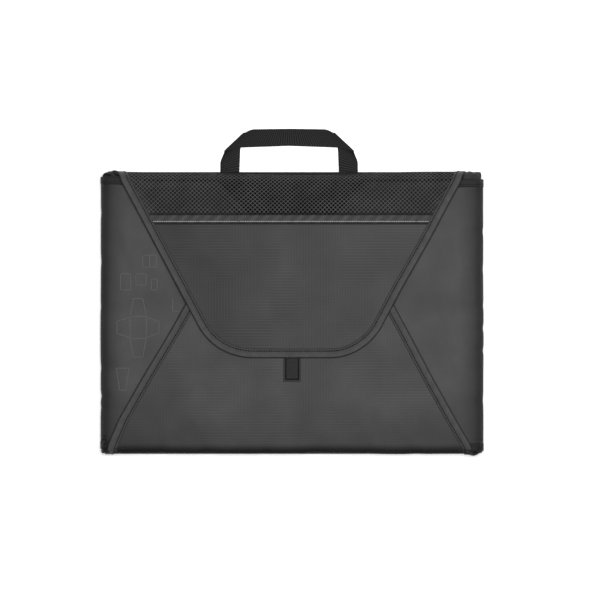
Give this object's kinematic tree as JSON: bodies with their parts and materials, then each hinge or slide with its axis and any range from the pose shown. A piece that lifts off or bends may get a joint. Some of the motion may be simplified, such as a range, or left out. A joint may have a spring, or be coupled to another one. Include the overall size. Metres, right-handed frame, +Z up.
{
  "type": "garment packing folder",
  "caption": "Closed rectangular packing folder for shirts: four cloth wings folded over a stiff board, mesh-topped tapered flap and a flat webbing carry handle.",
  "frame": {"origin": "centre of the back panel's flat underside", "axes": "+Z up out of the flap side, +Y towards the carry handle, +X to the right when the flap is seen with the handle at the top"},
  "size_m": [0.45, 0.3837, 0.0289],
  "materials": {
    "back_cloth": "matte dark woven cloth, two layers",
    "board_plastic": "satin stiff plastic sheet",
    "webbing": "ribbed flat webbing",
    "plain_cloth": "smooth plain weave, slight sheen",
    "ripstop_cloth": "fine ripstop weave",
    "binding_tape": "twill binding tape",
    "pile_patch": "hook and loop pile",
    "mesh_cloth": "open netting",
    "reflective_thread": "light grey twisted reflective cord"
  },
  "bodies": {
    "back": {"back_panel": "back_cloth"},
    "board": {"folding_board": "board_plastic"},
    "handle": {"handle_webbing": "webbing"},
    "top_gusset": {"top_gusset_mesh": "mesh_cloth"},
    "flap": {"flap_mesh": "mesh_cloth", "flap_seam_band": "ripstop_cloth", "flap_panel": "ripstop_cloth", "flap_tape": "binding_tape", "flap_reflective_cord": "reflective_thread", "hook_patch": "pile_patch"},
    "bottom_gusset": {"bottom_gusset": "ripstop_cloth"},
    "bottom_wing": {"bottom_wing": "ripstop_cloth", "bottom_wing_tape": "binding_tape", "loop_patch": "pile_patch"},
    "left_gusset": {"left_gusset": "plain_cloth"},
    "left_wing": {"left_wing": "plain_cloth", "left_wing_tape": "binding_tape"},
    "right_gusset": {"right_gusset": "plain_cloth"},
    "right_wing": {"right_wing": "plain_cloth", "right_wing_tape": "binding_tape"}
  },
  "joints": [
    {"name": "board_lift", "type": "slide", "parent": "back", "child": "board", "axis": [0, 0, 1], "range_m": [0, 0.012]},
    {"name": "handle_swing", "type": "hinge", "parent": "back", "child": "handle", "pos_m": [0, 0.1673, 0], "axis": [1, 0, 0], "range_deg": [-170, 0]},
    {"name": "top_gusset_hinge", "type": "hinge", "parent": "back", "child": "top_gusset", "pos_m": [0, 0.167, 0.0034], "axis": [-1, 0, 0], "range_deg": [0, 90]},
    {"name": "flap_hinge", "type": "hinge", "parent": "top_gusset", "child": "flap", "pos_m": [0, 0.167, 0.0274], "axis": [-1, 0, 0], "range_deg": [0, 90]},
    {"name": "bottom_gusset_hinge", "type": "hinge", "parent": "back", "child": "bottom_gusset", "pos_m": [0, -0.167, 0.0034], "axis": [1, 0, 0], "range_deg": [0, 90]},
    {"name": "bottom_wing_hinge", "type": "hinge", "parent": "bottom_gusset", "child": "bottom_wing", "pos_m": [0, -0.167, 0.0234], "axis": [1, 0, 0], "range_deg": [0, 90], "deforming": ["bottom_wing", "bottom_wing_tape", "loop_patch"]},
    {"name": "left_gusset_hinge", "type": "hinge", "parent": "back", "child": "left_gusset", "pos_m": [-0.225, 0, 0.0034], "axis": [0, -1, 0], "range_deg": [0, 90]},
    {"name": "left_wing_hinge", "type": "hinge", "parent": "left_gusset", "child": "left_wing", "pos_m": [-0.225, 0, 0.0214], "axis": [0, -1, 0], "range_deg": [0, 90], "deforming": ["left_wing", "left_wing_tape"]},
    {"name": "right_gusset_hinge", "type": "hinge", "parent": "back", "child": "right_gusset", "pos_m": [0.225, 0, 0.0034], "axis": [0, 1, 0], "range_deg": [0, 90]},
    {"name": "right_wing_hinge", "type": "hinge", "parent": "right_gusset", "child": "right_wing", "pos_m": [0.225, 0, 0.0214], "axis": [0, 1, 0], "range_deg": [0, 90], "deforming": ["right_wing", "right_wing_tape"]}
  ],
  "couplings": [
    {"joint": "flap_hinge", "follows": "top_gusset_hinge", "ratio": 1},
    {"joint": "bottom_wing_hinge", "follows": "bottom_gusset_hinge", "ratio": 1},
    {"joint": "left_wing_hinge", "follows": "left_gusset_hinge", "ratio": 1},
    {"joint": "right_wing_hinge", "follows": "right_gusset_hinge", "ratio": 1}
  ]
}
